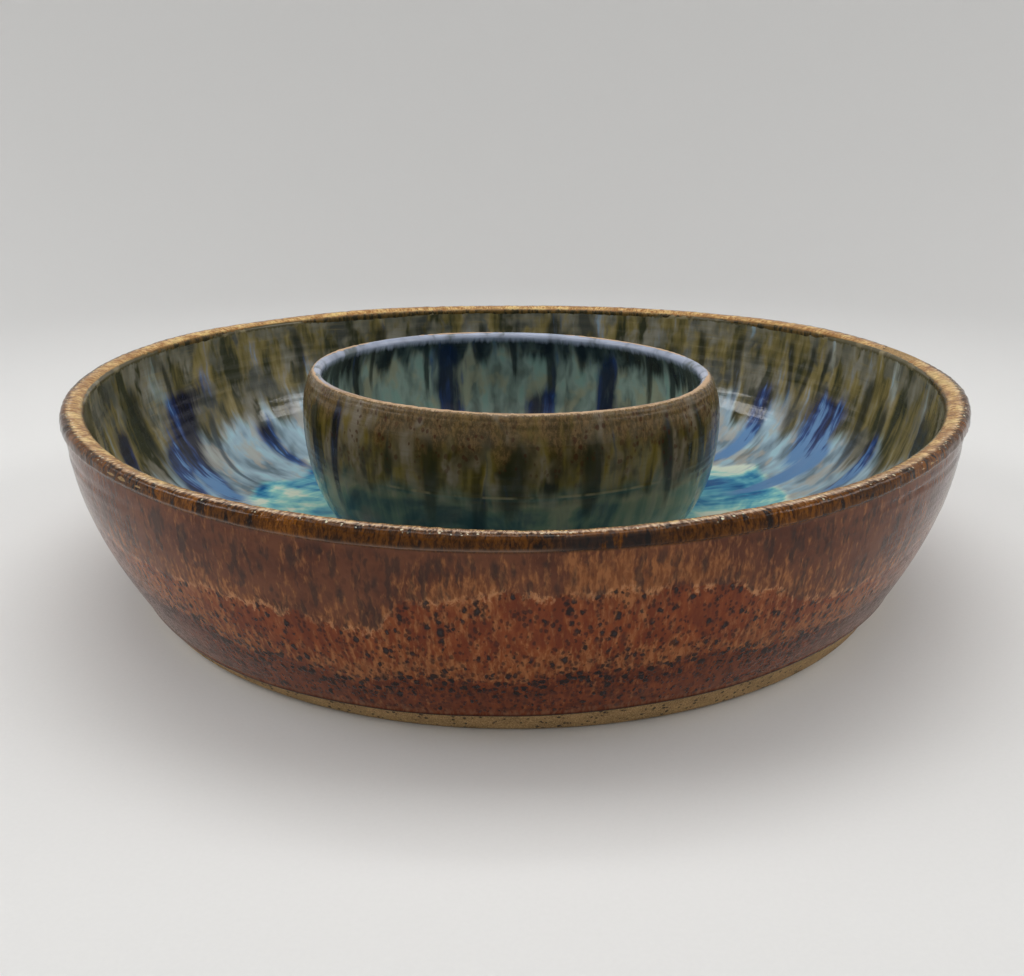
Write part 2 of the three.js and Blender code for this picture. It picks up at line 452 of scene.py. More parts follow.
# Runs of glaze, as the middle in degrees, the top and bottom in mm below the rim, the half width in mm, and
# for some the lean in degrees per mm. The scattered ones are on the sides that the photo doesn't show.
COBALT = [
    (161.5, 17, 70, 10.5, 0.2), (171, 34, 64, 7.5, 0.15), (185, 20, 38, 6), (146.5, 40, 74, 5, 0.02),
    (37, 25, 78, 5), (21.5, 23, 56, 10.5, -0.02), (19, 40, 90, 5.5, -0.02), (6, 30, 60, 4, 0.05),
    *scattered(41, 200, 350, (17, 34), (22, 34), (30, 50), (4, 9)),
    *scattered(42, 56, 134, (16, 30), (22, 34), (30, 48), (4, 9)),
]
DRIPS = [
    (158.5, 30, 70, 2.2, 0.08), (176, 8, 40, 5), (135, 2, 32, 2.6), (6, 18, 58, 2.4), (33, 4, 30, 1.6),
    (29, 4, 34, 1.6), (24.5, 4, 30, 1.4), (44, 4, 36, 2.2), (12, 10, 50, 3), (166, 4, 24, 2),
    *scattered(43, 196, 352, (6, 15), (2, 16), (20, 46), (1.4, 3.4)),
    *scattered(44, 52, 132, (6, 14), (2, 16), (18, 44), (1.4, 3.4)),
]
# How much paler than usual the cobalt is, as (degrees, amount)
PALER = [(20, 0.3), (45, 0.25), (75, 0.1), (120, 0), (160, -0.12), (200, 0), (320, 0.1)]


def bowl_inner_glaze():
    angle = angles(640)[None, :]
    wall_end, end = BOWL.end["inside"], BOWL.length
    along = rows((RIM_EDGE - TUCK, RIM_EDGE + 4, 0.5), (RIM_EDGE + 4, wall_end, 1), (wall_end, end, 2.4))
    along = along + 0 * angle
    fall = along - RIM_EDGE
    cobalt = runs(angle, fall, 140, COBALT)
    drips = runs(angle, fall, 140, DRIPS)
    rings = INNER_RING * np.sin(TURN * fall / INNER_RING_PITCH + 1.3 * waves(angle, 0 * fall, 21, 5, 3))
    rings = rings * ease(60, 30, fall)
    spiral = INNER_RING * np.sin(TURN * fall / 7.5 + angle) * ease(60, 80, fall)
    swells = SWELL * waves(angle, fall, 22, 24, 12, 60) * ease(end - 20, end - 60, along)
    lift = (rings + spiral) * ease(1, 5, fall) + swells
    lift = lift + 0.12 * cobalt + 0.08 * drips - CURL * np.minimum(fall, 0) ** 2
    lift[-1] = lift[-1].mean()
    values = inside_values(angle, fall, 150, cobalt, drips, (38, 70), 14, marks=around(angle, PALER))
    return layer("serving_bowl_inner_glaze", BOWL, along, lift, values, saddle)


DIP_DRIPS = [
    (271, 9, 34, 5), (251, 9, 36, 3.4), (240.5, 14, 24, 2.2), (262, 24, 40, 3), (211, 5, 40, 4),
    (197, 8, 44, 3), (289, 9, 34, 4), (312, 6, 38, 3), (326, 4, 30, 3), (342, 6, 46, 4),
    *scattered(51, 355, 550, (9, 17), (4, 14), (24, 40), (2, 5)),
]
DIP_COBALT = [
    (221, 4, 38, 2.2), (332, 20, 50, 3),
    *scattered(52, 10, 180, (30, 50), (16, 24), (20, 30), (2.5, 4)),
]
# How sharp the ledge low on the dip bowl is round it, and how strong the painted highlight along it is, as
# (degrees, 0 to 1)
CRISP = [(90, 0.3), (228, 0.15), (248, 1), (300, 1), (316, 0.15)]


def dip_outer_glaze():
    angle = angles(420)[None, :]
    start = DIP.end["foot"] + 1.5
    along = rows(
        (start, start + 2.4, 0.35), (start + 2.4, DIP_CREST - 30, 1), (DIP_CREST - 30, DIP_CREST - 24, 0.35),
        (DIP_CREST - 24, DIP_CREST - 6, 1), (DIP_CREST - 6, DIP_CREST + TUCK, 0.4),
    )
    along = along + 0 * angle
    fall, above = DIP_CREST - along, along - start
    cobalt = runs(angle, fall, 73, DIP_COBALT)
    drips = runs(angle, fall, 73, DIP_DRIPS)
    lift = -GLAZE * ease(0.7, 0, above) + 0.25 * ridge(above, 1.1, 0.6)
    lift = lift + SWELL * waves(angle, along, 61, 20, 8, 45)
    lift = lift + 0.04 * np.sin(TURN * fall / 2.9 + 2 * np.sin(angle))
    crisp = around(angle, CRISP)
    lift = lift + crisp * (LEDGE * ridge(fall, LEDGE_FALL, 0.55) - 0.12 * ridge(fall, LEDGE_FALL + 1.3, 0.6))
    lift = lift + 0.35 * ridge(fall, 3.5, 1.5)
    lift = lift + 0.06 * waves(angle, along, 62, 40, 120, 5) * ease(4, 1, fall)
    lift = lift + 0.1 * drips - CURL * np.maximum(along - DIP_CREST, 0) ** 2
    values = inside_values(angle, fall, 75, cobalt, drips, (25, 29), 5, 4, 0.6, crisp)
    return layer("dip_bowl_outer_glaze", DIP, along, lift, values, tilt, DIP_X)


DIP_INNER_DRIPS = [
    (90, 2, 26, 1.6), (77, 2, 38, 2.2), (102, 2, 16, 2.8), (66, 2, 20, 2.6), (47, 2, 12, 2),
    (37, 2, 34, 2), (25, 2, 34, 2.4), (13, 2, 36, 3), (122, 2, 30, 1.6), (137, 2, 16, 2.4),
    (144, 2, 22, 1.6), (152, 2, 28, 2.4), (164, 2, 36, 3), (175, 2, 30, 3),
    *scattered(53, 186, 365, (9, 18), (2, 4), (18, 34), (1.6, 3)),
]
DIP_INNER_COBALT = [
    (113, 6, 64, 6), (55, 10, 64, 4.5), (79, 28, 74, 6),
    *scattered(54, 186, 375, (30, 50), (8, 18), (34, 50), (3, 6)),
]
BROWNER = [(90, 0), (195, 0), (228, 1), (312, 1), (345, 0)]


def dip_inner_glaze():
    angle = angles(420)[None, :]
    wall_end, end = DIP.end["inside"], DIP.length
    along = rows((DIP_CREST - TUCK, DIP_CREST + 8, 0.4), (DIP_CREST + 8, wall_end, 1), (wall_end, end, 1.6))
    along = along + 0 * angle
    fall = along - DIP_CREST
    cobalt = runs(angle, fall, 68, DIP_INNER_COBALT)
    drips = runs(angle, fall, 68, DIP_INNER_DRIPS)
    lift = 0.07 * waves(angle, fall, 63, 20, 8, 45) * ease(end - 8, end - 30, along) + 0.1 * drips
    lift = lift - CURL * np.minimum(fall, 0) ** 2
    lift[-1] = lift[-1].mean()
    values = inside_values(angle, fall, 70, cobalt, drips, (12, 60), 8, marks=around(angle, BROWNER))
    return layer("dip_bowl_inner_glaze", DIP, along, lift, values, tilt, DIP_X)


def clay_body(name, section, base, along, warp, columns, centre_x=0):
    """The clay under the glaze: a turned underside, then the whole section."""
    radius, height = section.at(along, -GLAZE)
    base_r, base_z = np.array(base).T[:, :, None]
    radius = np.concatenate([base_r, radius]) * np.ones((1, columns))
    height = np.concatenate([base_z, height]) * np.ones((1, columns))
    angle = angles(columns)[None, :]
    length = np.concatenate([base_r * 0 + np.linspace(-60, -1, len(base))[:, None], along])
    values = {"flow": flow_of(angle, length, radius.max())}
    return turned(name, radius, height, values, warp, centre_x, poles=True)


def underside(foot_radius, foot_z, ring_width, recess, bevel):
    """From the middle of the base out to the foot's outer edge, with points close together at each bend."""
    ring = foot_radius - bevel - ring_width
    corners = [(0, recess), (ring - recess - 1, recess), (ring - recess, recess), (ring, 0), (ring + 0.6, 0)]
    corners += [(foot_radius - bevel - 0.6, 0), (foot_radius - bevel, 0)]
    return [(r, foot_z + z) for r, z in corners]


def bowl_clay():
    base = underside(FOOT_RADIUS, 0, FOOT_RING_WIDTH, RECESS, FOOT_BEVEL)
    along = rows((0.9, 12, 0.6), (12, WALL_TOP, 3), (WALL_TOP, RIM_EDGE, 0.7), (RIM_EDGE, BOWL.length, 4))
    return clay_body("serving_bowl_clay", BOWL, base, along, saddle, 240)


def dip_clay():
    base = underside(DIP_FOOT_RADIUS, DIP_FOOT_Z, DIP_RING_WIDTH, DIP_RECESS, DIP_FOOT_ROUND)
    wall_end, rim_end = DIP.end["wall"], DIP.end["rim"]
    along = rows((1.0, 8, 0.5), (8, wall_end, 3), (wall_end, rim_end, 0.6), (rim_end, DIP.length, 4))
    return clay_body("dip_bowl_clay", DIP, base, along, tilt, 160, DIP_X)


# ---------------- materials

def tone(red, green, blue, lift=1.0):
    """A linear colour from 0-255 screen values, made lighter by lift."""
    screen = np.array([red, green, blue]) / 255
    linear = np.where(screen <= 0.04045, screen / 12.92, ((screen + 0.055) / 1.055) ** 2.4) * lift
    return (*np.minimum(linear, 0.9).tolist(), 1)


class Finish:
    """A material and short ways to add nodes to it. Each call returns the new node's output. lift makes the
    screen colours given to tone, blend and over lighter."""

    def __init__(self, name, lift=1.0):
        self.lift = lift
        self.material = bpy.data.materials.new(name)
        self.material.use_nodes = True
        self.tree = self.material.node_tree
        self.shader = self.tree.nodes["Principled BSDF"]

    def add(self, kind, output, sockets, **settings):
        node = self.tree.nodes.new(kind)
        for key, value in settings.items():
            setattr(node, key, value)
        for key, value in sockets.items():
            if isinstance(value, bpy.types.NodeSocket):
                self.tree.links.new(value, node.inputs[key])
            else:
                node.inputs[key].default_value = value
        return node.outputs[output]

    def value(self, name):
        return self.add("ShaderNodeAttribute", "Fac", {}, attribute_name=name)

    def place(self, name):
        return self.add("ShaderNodeAttribute", "Vector", {}, attribute_name=name)

    def math(self, operation, a, b=0.0, c=0.0):
        return self.add("ShaderNodeMath", 0, {0: a, 1: b, 2: c}, operation=operation)

    def times(self, *values):
        total = values[0]
        for value in values[1:]:
            total = self.math("MULTIPLY", total, value)
        return total

    def plus(self, a, b, amount=1.0):
        """a, and b times the amount."""
        return self.math("MULTIPLY_ADD", b, amount, a)

    def centred(self, x):
        """A noise made to vary about 0."""
        return self.math("SUBTRACT", x, 0.5)

    def ease(self, x, low, high):
        """0 at low, 1 at high, smooth between them."""
        sockets = {"Value": x, "From Min": low, "From Max": high}
        return self.add("ShaderNodeMapRange", "Result", sockets, interpolation_type="SMOOTHSTEP")

    def span(self, x, low, high, start=0.0, end=1.0):
        """low where x is start, and high where it is end."""
        sockets = {"Value": x, "From Min": start, "From Max": end, "To Min": low, "To Max": high}
        return self.add("ShaderNodeMapRange", "Result", sockets)

    def vector(self, operation, a, b):
        return self.add("ShaderNodeVectorMath", 0, {0: a, 1: b}, operation=operation)

    def scale(self, vector, x, y, z):
        return self.vector("MULTIPLY", vector, (x, y, z))

    def noise(self, vector, x, z, detail=2.0, roughness=0.5):
        """Cloudy values about 0.5, x features per mm across and z down."""
        place = self.scale(vector, x, x, z)
        sockets = {"Vector": place, "Scale": 1.0, "Detail": detail, "Roughness": roughness}
        return self.add("ShaderNodeTexNoise", 0, sockets)

    def bent(self, vector, size, amount):
        """The vector pushed about by a noise of that size, both in mm."""
        sockets = {"Vector": self.scale(vector, 1 / size, 1 / size, 1 / size), "Scale": 1.0, "Detail": 2.0}
        cloud = self.add("ShaderNodeTexNoise", "Color", sockets)
        push = self.vector("SUBTRACT", cloud, (0.5, 0.5, 0.5))
        return self.vector("ADD", vector, self.scale(push, amount, amount, amount))

    def specks(self, vector, x, z, least, most, density, soft=0.4):
        """Spots from a Voronoi pattern, and the hearts of the spots: 1 inside and 0 outside. Their radii run
        from least to most in cells, and density is the share of cells that have one."""
        cells = {"Vector": self.scale(vector, x, x, z), "Scale": 1.0}
        distance = self.add("ShaderNodeTexVoronoi", "Distance", cells)
        cell = self.add("ShaderNodeTexVoronoi", "Color", cells)
        red, green = (self.add("ShaderNodeSeparateColor", i, {"Color": cell}) for i in (0, 1))
        ratio = self.math("DIVIDE", distance, self.span(red, least, most))
        there = self.math("LESS_THAN", green, density)
        spots = self.times(self.ease(ratio, 1.0, 1.0 - soft), there)
        return spots, self.times(self.ease(ratio, 0.5, 0.25), there)

    def ramp(self, x, *stops):
        """A colour for each x, through (position, colour) stops."""
        chosen = self.add("ShaderNodeValToRGB", "Color", {"Fac": x})
        elements = chosen.node.color_ramp.elements
        while len(elements) < len(stops):
            elements.new(0.5)
        for element, (position, colour) in zip(elements, sorted(stops)):
            element.position = position
            element.color = colour
        return chosen

    def mix(self, amount, a, b):
        return self.add("ShaderNodeMix", 2, {0: amount, 6: a, 7: b}, data_type="RGBA")

    def tone(self, screen, more=1.0):
        return tone(*screen, self.lift * more)

    def blend(self, amount, a, b):
        """Between two screen colours."""
        return self.mix(amount, self.tone(a), self.tone(b))

    def over(self, colour, screen, *amounts):
        """The colour with a screen colour laid over it, as strongly as the product of the amounts."""
        return self.mix(self.times(*amounts), colour, self.tone(screen))

    def finish(self, colour, roughness, height, depth, gloss=0.5):
        """Joins up the shader. depth is how deep the bump is, in mm, and gloss how strongly it mirrors."""
        sockets = {"Height": height, "Strength": 1.0, "Distance": depth * MM}
        normal = self.add("ShaderNodeBump", "Normal", sockets)
        for key, value in (("Base Color", colour), ("Roughness", roughness), ("Normal", normal)):
            self.tree.links.new(value, self.shader.inputs[key])
        self.shader.inputs["IOR"].default_value = 1.5
        self.shader.inputs["Specular IOR Level"].default_value = gloss
        return self.material


def outer_glaze():
    """Rust-brown glaze with tan streaks: dull above the edge of the second dip, and specked below it."""
    m = Finish("rust_glaze", lift=1.25)
    flow = m.place("flow")
    bent = m.bent(flow, 3.5, 1.6)
    hair = m.noise(bent, 0.95, 0.24, 3.0, 0.6)
    fuzz = m.noise(bent, 0.38, 0.11, 3.0, 0.6)
    cloud = m.noise(flow, 0.07, 0.09, 3.0, 0.6)
    edge = m.noise(bent, 0.45, 0.4, 4.0, 0.75)
    grain = m.noise(m.bent(flow, 2.5, 1.6), 1.2, 0.35, 4.0, 0.7)
    stray = m.plus(m.centred(edge), m.centred(hair), 0.8)
    dipped = m.plus(m.value("dipped"), stray, 7.0)
    banded = m.plus(m.value("banded"), stray, 11.0)
    rim = m.value("rim")

    wall = rust_wall(m, hair, fuzz, cloud, edge, dipped, banded)
    wall, iron = rust_iron(m, wall, flow, bent, dipped, banded)
    colour = m.mix(m.ease(rim, -0.5, 0.3), wall, rust_rim(m, flow, bent, fuzz, grain))

    shine = m.ramp(iron, (0.0, (0.13,) * 3 + (1,)), (1.0, (0.26,) * 3 + (1,)))
    shine = m.plus(shine, m.ease(rim, -1.0, 1.0), -0.05)
    shine = m.plus(shine, m.ease(rim, 4.5, 6.5), 0.12)
    shine = m.plus(shine, m.centred(cloud), 0.12)
    crust = m.noise(flow, 1.4, 1.1, 3.0, 0.6)
    relief = m.plus(m.times(hair, 0.25), iron, 0.25)
    relief = m.plus(relief, m.noise(flow, 0.8, 0.7, 3.0, 0.5), 0.25)
    relief = m.plus(relief, m.times(m.plus(grain, crust), m.ease(rim, 2.5, 6.0)), 0.55)
    relief = m.plus(relief, m.noise(flow, 0.2, 0.18, 1.0, 0.5), 0.6)
    return m.finish(colour, shine, relief, 0.25, gloss=0.17)


def rust_wall(m, hair, fuzz, cloud, edge, dipped, banded):
    """The wall's browns and tan streaks, with a pale line along the edge of the second dip."""
    fibre = m.plus(m.times(hair, 0.6), fuzz, 0.4)
    tan_amount = m.ease(m.math("ADD", fibre, m.value("tan")), 0.48, 0.68)
    tan = m.blend(m.ease(hair, 0.4, 0.65), (116, 68, 36), (148, 96, 56))
    upper = m.blend(m.ease(cloud, 0.35, 0.65), (78, 44, 30), (95, 57, 38))
    middle = m.blend(m.ease(fuzz, 0.35, 0.65), (94, 42, 20), (118, 58, 28))
    dark = m.blend(m.ease(hair, 0.4, 0.65), (76, 32, 13), (104, 50, 22))
    colour = m.mix(m.ease(dipped, -0.8, 0.8), upper, middle)
    fading = m.plus(1.0, m.ease(banded, 4.5, 9.0), -0.6)
    colour = m.mix(m.times(m.ease(banded, -1.5, 1.5), fading), colour, dark)
    colour = m.mix(m.times(tan_amount, 0.75), colour, tan)
    low = m.times(m.ease(m.value("above"), 4.5, 1.8), m.ease(hair, 0.38, 0.6))
    colour = m.over(colour, (120, 84, 62), low, 0.6)
    brink = m.plus(m.math("ABSOLUTE", dipped), m.centred(edge), 3.0)
    shore = m.times(m.ease(brink, 1.5, 0.0), m.ease(fuzz, 0.45, 0.54), m.ease(cloud, 0.34, 0.5))
    return m.over(colour, (180, 128, 86), shore, 0.65)


def rust_iron(m, colour, flow, bent, dipped, banded):
    """Adds the iron: black specks below the edge of the second dip, and soft stains above it."""
    above, rim = m.value("above"), m.value("rim")
    below = m.ease(dipped, -1.0, 1.0)
    band_edge = m.times(m.ease(banded, -4.5, -0.5), m.ease(banded, 8.5, 3.5))
    in_band = m.math("MAXIMUM", band_edge, m.times(m.ease(banded, 0.0, 4.0), 0.4))
    irregular = m.bent(flow, 1.6, 1.9)
    cluster = m.ease(m.noise(flow, 0.16, 0.2), 0.34, 0.54)
    spots, hearts = m.specks(irregular, 0.42, 0.27, 0.24, 0.52, 0.95, soft=0.45)
    pits, _ = m.specks(irregular, 0.42, 0.42, 0.34, 0.66, 0.95)
    fine_pits, _ = m.specks(m.bent(flow, 1.0, 0.8), 0.75, 0.5, 0.28, 0.58, 0.85, soft=0.5)
    smears, _ = m.specks(m.bent(flow, 3.0, 2.2), 0.32, 0.10, 0.2, 0.52, 0.8, soft=0.9)
    stain = m.ease(m.noise(bent, 0.34, 0.1, 3.0, 0.6), 0.52, 0.62)
    crowded = m.plus(0.2, cluster, 0.8)
    iron = m.times(spots, m.plus(0.25, below, 0.75), crowded)
    iron = m.math("MAXIMUM", iron, m.times(pits, in_band))
    iron = m.math("MAXIMUM", iron, m.times(fine_pits, m.plus(0.1, below, 0.6)))
    iron = m.times(iron, m.ease(above, 1.5, 3.5))
    upper_only = m.plus(1.0, below, -0.8)
    soft_iron = m.times(m.math("MAXIMUM", m.times(smears, 0.8), m.times(stain, 0.65)), upper_only)
    colour = m.over(colour, (38, 31, 29), soft_iron, m.ease(rim, 0.5, -3.0), 0.95)
    colour = m.over(colour, (18, 17, 18), iron, 0.92)
    colour = m.over(colour, (60, 60, 64), hearts, below, cluster, 0.25)
    # The dark line along the roll where the glaze ends: thick glaze, and partly painted shade of the roll.
    roll_line = m.times(m.ease(above, 2.0, 1.1), m.ease(above, 0.0, 0.3))
    return m.over(colour, (34, 18, 12), roll_line, 0.9), iron


def rust_rim(m, flow, bent, fuzz, grain):
    """The rim: amber and black on its face, pale and grainy on top, and dark at its inner edge, with painted
    highlights on its crest and along its lower bead.
    """
    rim, front_share = m.value("rim"), m.value("front_share")
    blots = m.noise(bent, 0.42, 0.14, 3.0, 0.6)
    mottle = m.noise(flow, 0.13, 0.25, 3.0, 0.6)
    amber = m.noise(flow, 0.05, 0.02)
    face = m.blend(m.ease(grain, 0.38, 0.62), (42, 22, 4), (86, 49, 9))
    glow = m.blend(m.ease(grain, 0.38, 0.62), (86, 48, 10), (134, 80, 19))
    face = m.mix(m.times(m.ease(amber, 0.45, 0.62), 0.55), face, glow)
    face = m.over(face, (15, 9, 6), m.ease(blots, 0.55, 0.64), 0.9)
    top = m.blend(m.ease(grain, 0.38, 0.64), (140, 98, 54), (208, 172, 114))
    top = m.over(top, (124, 80, 42), m.ease(mottle, 0.48, 0.62), 0.5)
    top = m.over(top, (222, 196, 130), m.ease(mottle, 0.47, 0.36), 0.5)
    # The rim's top darker towards the front.
    top = m.over(top, (104, 68, 40), front_share, m.ease(grain, 0.6, 0.45))
    # A painted highlight: a pale broken line along the crest at the front.
    crest_highlight = m.times(front_share, m.ease(rim, 4.4, 5.2), m.ease(rim, 8.2, 6.2), m.ease(grain, 0.34, 0.5))
    top = m.over(top, (196, 172, 152), crest_highlight, 0.8)
    inner = m.blend(m.ease(blots, 0.4, 0.6), (92, 70, 34), (44, 40, 24))
    ragged = m.plus(rim, m.centred(grain), 3.5)
    rolled = m.mix(m.ease(ragged, 5.5, 7.0), face, top)
    rolled = m.mix(m.ease(ragged, 9.8, 11.2), rolled, inner)
    # Painted glints: white specks along the crest.
    painted_glints, _ = m.specks(m.bent(flow, 1.0, 0.8), 0.9, 0.9, 0.16, 0.4, 0.5)
    crest = m.times(painted_glints, m.ease(rim, 4.2, 5.6), m.ease(rim, 8.4, 6.4))
    rolled = m.over(rolled, (232, 216, 184), crest, 0.8)
    rolled = m.over(rolled, (22, 23, 25), m.value("soot"), m.ease(fuzz, 0.3, 0.44), 0.9)
    # A painted highlight: a pale line along the rim's lower bead at the front.
    return m.over(rolled, (130, 110, 96), m.value("bead_glint"), 0.75)


class RunningFinish(Finish):
    """A glaze that ran down in the kiln, with the noises that all of its parts share. grade makes the streaks
    finer, and they die out between the two lengths of flow in still."""

    def __init__(self, name, lift, grade, still):
        super().__init__(name, lift)
        self.flow = self.place("flow")
        self.fall = self.value("fall")
        bent = self.bent(self.flow, 11.0, 3.5)
        self.fine = self.noise(bent, 0.6, 0.07)
        self.medium = self.noise(bent, 0.13 * grade, 0.03)
        self.broad = self.noise(self.flow, 0.085, 0.022)
        self.patch = self.noise(self.bent(self.flow, 14.0, 9.0), 0.1 * grade, 0.06)
        self.shoal = self.noise(self.bent(self.flow, 12.0, 7.0), 0.085, 0.05, 3.0, 0.6)
        self.throwing = self.noise(self.bent(self.flow, 24.0, 3.0), 0.02, 0.5, 4.0, 0.7)
        self.streak = self.plus(self.plus(self.plus(-2.2, self.medium, 2.6), self.broad, 1.2), self.fine, 0.6)
        self.cloudy = self.plus(self.plus(-1.55, self.patch, 2.8), self.fine, 0.3)
        self.moving = self.ease(self.fall, still[1], still[0])

    def spread(self, value, shades):
        """The shades from dark to light, chosen by a value of about -0.5 to 0.5."""
        last = len(shades) - 1
        stops = [(0.1 + 0.8 * i / last, self.tone(shade)) for i, shade in enumerate(shades)]
        return self.ramp(self.math("ADD", value, 0.5), *stops)


def running_glaze(name, wall, haze, rings, pale, sand, pool, ink, drip, lip, lip_depth, lift,
                  gloss=0.32, grade=1.0, still=(92, 122), crust=None, brow=None):
    """A streaked dark wall with hazy patches, pale panels under it, then a pool. wall, haze, pale, pool and
    ink are screen colours from dark to light, which the streaks choose from. sand is for patches on the pale
    panels, crust for a speckled brown top and brow for a brown edge to the lip."""
    m = RunningFinish(name, lift, grade, still)
    colour = running_wall(m, wall, haze, rings, pale, sand)
    colour = running_pool(m, colour, pool)
    colour = running_drips(m, colour, drip, ink, marked=not brow and not crust)
    colour = running_lip(m, colour, wall[-1], lip, lip_depth, brow)
    shine = m.span(m.medium, 0.08, 0.16, 0.3, 0.7)
    relief = m.plus(m.times(m.fine, 0.25), m.medium, 0.8)
    relief = m.plus(relief, m.times(m.throwing, m.ease(m.fall, 60.0, 25.0)), 0.4)
    relief = m.times(m.plus(relief, m.noise(m.flow, 0.8, 0.8), 0.12), m.moving)
    if crust:
        colour, shine, relief = running_crust(m, colour, shine, relief, crust)
    return m.finish(colour, shine, relief, 0.25, gloss)


def running_wall(m, wall, haze, rings, pale, sand):
    """The dark wall with its haze and throwing rings, and the pale panels under it."""
    low = m.times(m.ease(m.fall, 54.0, 16.0), m.ease(m.broad, 0.42, 0.58))
    hazy = m.plus(m.plus(m.shoal, m.streak, 0.06), m.ease(m.fall, 15.0, 5.0), 0.05)
    colour = m.mix(m.ease(hazy, 0.44, 0.6), m.spread(m.streak, wall), m.spread(m.cloudy, haze))
    colour = m.over(colour, rings, m.ease(m.throwing, 0.52, 0.66), low, 0.4)
    colour = m.over(colour, wall[1], m.ease(m.throwing, 0.47, 0.36), low, 0.22)
    panels = m.mix(m.times(m.ease(m.shoal, 0.48, 0.6), 0.65), m.spread(m.cloudy, pale), m.tone(sand))
    return m.mix(m.ease(m.plus(m.value("pale"), m.streak, 0.6), 0.15, 0.85), colour, panels)


def running_pool(m, colour, pool):
    """Adds the pool on the floor, which swirls."""
    spot = m.add("ShaderNodeTexCoord", "Object", {})
    swirl = m.add("ShaderNodeTexNoise", 0, {
        "Vector": spot, "Scale": 26.0, "Detail": 4.0, "Roughness": 0.55, "Distortion": 1.2,
    })
    shore = m.times(m.ease(m.value("pool"), 1.0, 0.3), 0.4)
    eddies = m.plus(m.plus(-1.6, swirl, 3.2), m.times(m.streak, m.moving), 0.35)
    eddies = m.math("ADD", eddies, shore)
    eddies = m.times(eddies, m.plus(0.55, m.moving, 0.45))
    shown = m.ease(m.plus(m.value("pool"), m.streak, 0.5), 0.15, 0.85)
    return m.mix(shown, colour, m.spread(eddies, pool))


def running_drips(m, colour, drip, ink, marked):
    """Adds the dark drips and the cobalt runs. marked says that the marks make the cobalt paler."""
    feather = m.plus(m.plus(-0.4, m.fine, 0.8), m.centred(m.medium), 1.5)
    dark = m.ease(m.plus(m.value("drip"), feather, 0.8), 0.2, 0.95)
    down = m.ease(m.fall, 24.0, 62.0)
    colour = m.mix(m.times(dark, 0.85), colour, m.blend(down, *drip))
    blue = m.ease(m.plus(m.value("cobalt"), feather, 0.9), 0.1, 0.85)
    inky = m.plus(m.plus(m.plus(-0.7, m.fine, 1.4), m.medium, 2.0), down, 0.7)
    inky = m.plus(inky, m.centred(m.patch), 1.2)
    if marked:
        inky = m.math("ADD", inky, m.value("marks"))
    return m.mix(m.times(blue, 0.94), colour, m.spread(m.math("SUBTRACT", inky, 1.4), ink))


def running_lip(m, colour, blotch, lip, lip_depth, brow):
    """Adds the lip, where the glaze is thin, down to a ragged edge at lip_depth mm."""
    stray = m.plus(m.fall, m.centred(m.fine), 3.0)
    edge = m.mix(m.ease(m.broad, 0.4, 0.6), m.tone(lip), m.tone(lip, 1.3))
    edge = m.over(edge, blotch, m.ease(m.shoal, 0.5, 0.38), 0.7)
    if brow:
        near = m.times(m.value("marks"), m.ease(stray, 2.6, 1.4))
        edge = m.over(edge, brow, near)
    return m.mix(m.times(m.ease(stray, lip_depth, lip_depth * 0.5), 0.9), colour, edge)


def running_crust(m, colour, shine, relief, crust):
    """Adds the dip bowl's speckled brown top and its pale brim, both rough, and the light on its ledge."""
    grain = m.noise(m.bent(m.flow, 2.0, 1.5), 0.95, 0.5, 4.0, 0.7)
    uneven = m.plus(m.plus(m.fall, m.streak, 7.0), m.centred(m.patch), 34.0)
    band = m.ease(uneven, 13.0, 3.0)
    rough = m.blend(m.ease(grain, 0.4, 0.62), crust[0], crust[1])
    colour = m.mix(m.times(band, 0.7), colour, rough)
    iron, _ = m.specks(m.bent(m.flow, 1.7, 1.2), 0.55, 0.42, 0.2, 0.52, 0.85)
    iron = m.times(iron, m.ease(m.fall, 34.0, 8.0), m.ease(m.shoal, 0.42, 0.56))
    colour = m.over(colour, crust[2], iron, 0.7)
    # A painted highlight along the ledge, strongest where its edge is sharp.
    from_ledge = m.math("ABSOLUTE", m.math("ADD", m.fall, -26.1))
    ledge = m.times(m.ease(from_ledge, 0.6, 0.1), m.ease(m.medium, 0.46, 0.6), m.value("marks"), 0.45)
    colour = m.over(colour, (124, 114, 86), ledge)
    brim = m.ease(m.plus(m.fall, m.centred(grain), 3.2), 1.5, 0.6)
    colour = m.over(colour, crust[3], brim, 0.85)
    shine = m.plus(m.plus(shine, band, 0.14), brim, 0.2)
    relief = m.plus(relief, m.times(grain, m.ease(m.fall, 8.0, 1.0)), 0.9)
    return colour, shine, relief


def bare_clay():
    m = Finish("bare_stoneware", lift=1.6)
    flow = m.place("flow")
    cloud = m.noise(flow, 0.12, 0.2, 3.0, 0.6)
    grit = m.noise(flow, 2.4, 2.4, 3.0, 0.7)
    lines = m.noise(flow, 0.03, 1.6, 2.0, 0.6)
    colour = m.blend(m.ease(cloud, 0.3, 0.7), (112, 88, 54), (136, 108, 70))
    colour = m.over(colour, (172, 146, 102), m.ease(grit, 0.5, 0.64), 0.6)
    colour = m.over(colour, (76, 56, 30), m.ease(grit, 0.47, 0.36), 0.6)
    spots, _ = m.specks(m.bent(flow, 1.0, 0.6), 0.6, 0.75, 0.2, 0.5, 0.5)
    colour = m.mix(m.times(spots, 0.9), colour, tone(32, 24, 18))
    shine = m.span(grit, 0.7, 0.9)
    relief = m.plus(m.plus(m.times(grit, 0.8), lines, 0.6), spots, -0.8)
    return m.finish(colour, shine, relief, 0.22)


# ---------------- the scene

